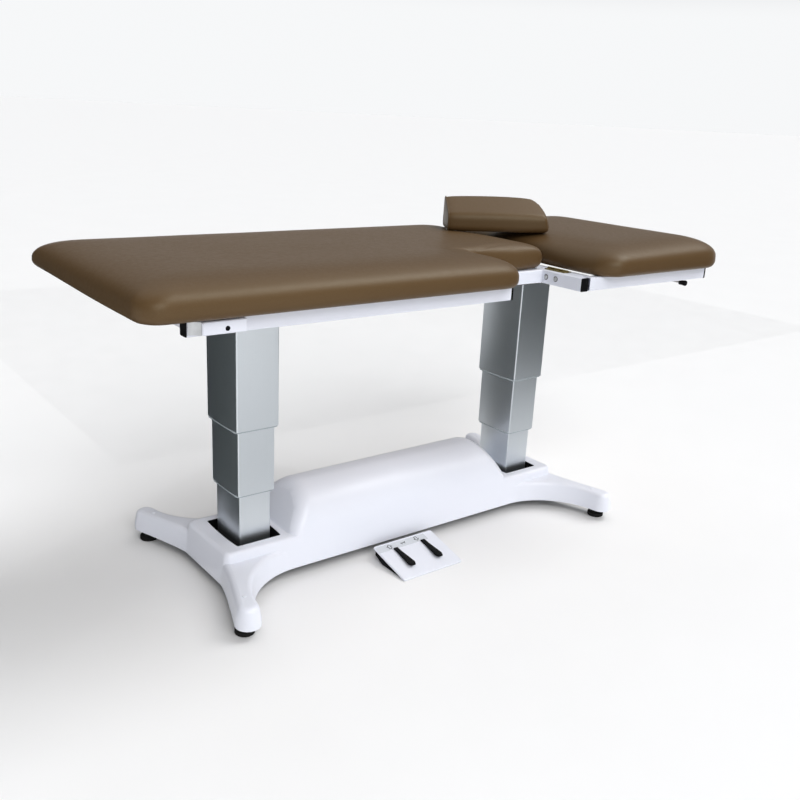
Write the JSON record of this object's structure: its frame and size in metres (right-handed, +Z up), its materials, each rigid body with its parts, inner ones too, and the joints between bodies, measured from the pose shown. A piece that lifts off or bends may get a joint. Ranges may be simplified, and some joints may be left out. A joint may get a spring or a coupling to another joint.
{
  "type": "examination table",
  "caption": "Height-adjustable examination couch: telescoping columns on a splayed base, leatherette top with a side cut-out, tilting head section, bolster pillow and foot switch.",
  "frame": {"origin": "on the floor under the middle of the top", "axes": "+X towards the head section, +Y away from the side with the cut-out, +Z up"},
  "size_m": [1.99, 0.775, 1.0082],
  "materials": {
    "white_enamel": "glossy white enamel",
    "white_moulding": "glossy white moulding",
    "satin_aluminium": "satin anodised, drawn along the column",
    "black_plastic": "fine matt grain",
    "black_rubber": "matt",
    "zinc_steel": "zinc plated",
    "dark_steel": "dark grey powder coat",
    "brass": "satin",
    "plywood": "sanded, raw",
    "brown_leatherette": "fine grain, low sheen"
  },
  "bodies": {
    "base": {"base_cover": "white_moulding", "chassis": "dark_steel", "lower_tube_foot": "satin_aluminium", "lower_tube_head": "satin_aluminium", "push_tube_foot": "zinc_steel", "push_tube_head": "zinc_steel", "column_well_foot": "black_plastic", "column_well_head": "black_plastic", "control_box": "black_plastic", "mains_inlet": "black_plastic", "footswitch_base": "black_plastic", "footswitch_plate": "white_moulding", "pedal_axle": "zinc_steel"},
    "lift": {"upper_tube_foot": "satin_aluminium", "upper_tube_head": "satin_aluminium", "drive_unit_foot": "dark_steel", "drive_unit_head": "dark_steel", "column_plate_foot": "dark_steel", "column_plate_head": "dark_steel", "front_rail": "white_enamel", "back_rail": "white_enamel", "inner_rail_front": "white_enamel", "inner_rail_back": "white_enamel", "foot_cross_tube": "white_enamel", "front_stub_tube": "white_enamel", "hinge_cross_tube": "white_enamel", "front_rail_cap_foot": "black_plastic", "front_rail_cap_head": "black_plastic", "back_rail_cap_foot": "black_plastic", "hinge_tube_cap_front": "black_plastic", "hinge_tube_cap_back": "black_plastic", "accessory_bracket": "white_enamel", "main_board": "plywood", "main_cushion": "brown_leatherette", "hinge_leaf_front": "brass", "hinge_leaf_back": "brass", "strut_cylinder": "dark_steel"},
    "foot_middle": {"middle_tube_foot": "satin_aluminium", "spindle_foot": "zinc_steel"},
    "head_middle": {"middle_tube_head": "satin_aluminium", "spindle_head": "zinc_steel"},
    "head": {"head_rail_front": "white_enamel", "head_rail_back": "white_enamel", "head_hinge_tube": "white_enamel", "head_end_tube": "white_enamel", "head_rail_cap_front": "black_plastic", "head_rail_cap_back": "black_plastic", "head_board": "plywood", "head_cushion": "brown_leatherette", "hinge_flap_front": "brass", "hinge_flap_back": "brass"},
    "strut": {"strut_rod": "zinc_steel"},
    "lever": {"release_lever": "zinc_steel"},
    "bolster": {"pillow": "brown_leatherette"},
    "up_pedal": {"pedal_up": "black_plastic"},
    "down_pedal": {"pedal_down": "black_plastic"},
    "front_left_foot": {"leveller_front_left": "black_rubber"},
    "front_right_foot": {"leveller_front_right": "black_rubber"},
    "back_left_foot": {"leveller_back_left": "black_rubber"},
    "back_right_foot": {"leveller_back_right": "black_rubber"}
  },
  "joints": [
    {"name": "height", "type": "slide", "parent": "base", "child": "lift", "axis": [0, 0, 1], "range_m": [-0.37, 0.03]},
    {"name": "foot_stage", "type": "slide", "parent": "base", "child": "foot_middle", "axis": [0, 0, 1], "range_m": [-0.185, 0.015]},
    {"name": "head_stage", "type": "slide", "parent": "base", "child": "head_middle", "axis": [0, 0, 1], "range_m": [-0.185, 0.015]},
    {"name": "head_tilt", "type": "hinge", "parent": "lift", "child": "head", "pos_m": [0.3758, 0, 0.8258], "axis": [0, -1, 0], "range_deg": [0, 60]},
    {"name": "strut_stroke", "type": "slide", "parent": "lift", "child": "strut", "axis": [1, 0, 0], "range_m": [0, 0.1]},
    {"name": "lever_turn", "type": "hinge", "parent": "head", "child": "lever", "pos_m": [0.8975, -0.2, 0.762], "axis": [0, 0, 1], "range_deg": [0, 12], "stiffness_Nm_per_rad": 0.5, "springref_deg": -5.73},
    {"name": "bolster_tip", "type": "hinge", "parent": "lift", "child": "bolster", "pos_m": [0.22815, 0.131, 0.9036], "axis": [0, -1, 0], "range_deg": [0, 50]},
    {"name": "up_pedal_press", "type": "hinge", "parent": "base", "child": "up_pedal", "pos_m": [-0.1855, -0.2019, 0.01911], "axis": [1, 0, 0], "range_deg": [0, 4], "stiffness_Nm_per_rad": 4, "springref_deg": -2.86},
    {"name": "down_pedal_press", "type": "hinge", "parent": "base", "child": "down_pedal", "pos_m": [-0.0845, -0.2019, 0.01911], "axis": [1, 0, 0], "range_deg": [0, 4], "stiffness_Nm_per_rad": 4, "springref_deg": -2.86},
    {"name": "front_left_thread", "type": "hinge", "parent": "base", "child": "front_left_foot", "pos_m": [-0.73436, -0.304, 0], "axis": [0, 0, 1], "continuous": true},
    {"name": "front_right_thread", "type": "hinge", "parent": "base", "child": "front_right_foot", "pos_m": [0.57936, -0.304, 0], "axis": [0, 0, 1], "continuous": true},
    {"name": "back_left_thread", "type": "hinge", "parent": "base", "child": "back_left_foot", "pos_m": [-0.73436, 0.304, 0], "axis": [0, 0, 1], "continuous": true},
    {"name": "back_right_thread", "type": "hinge", "parent": "base", "child": "back_right_foot", "pos_m": [0.57936, 0.304, 0], "axis": [0, 0, 1], "continuous": true}
  ],
  "couplings": [
    {"joint": "foot_stage", "follows": "height", "ratio": 0.5},
    {"joint": "head_stage", "follows": "height", "ratio": 0.5},
    {"joint": "strut_stroke", "follows": "head_tilt", "m_per_rad": 0.09549},
    {"joint": "bolster_tip", "follows": "head_tilt", "ratio": 0.77}
  ]
}
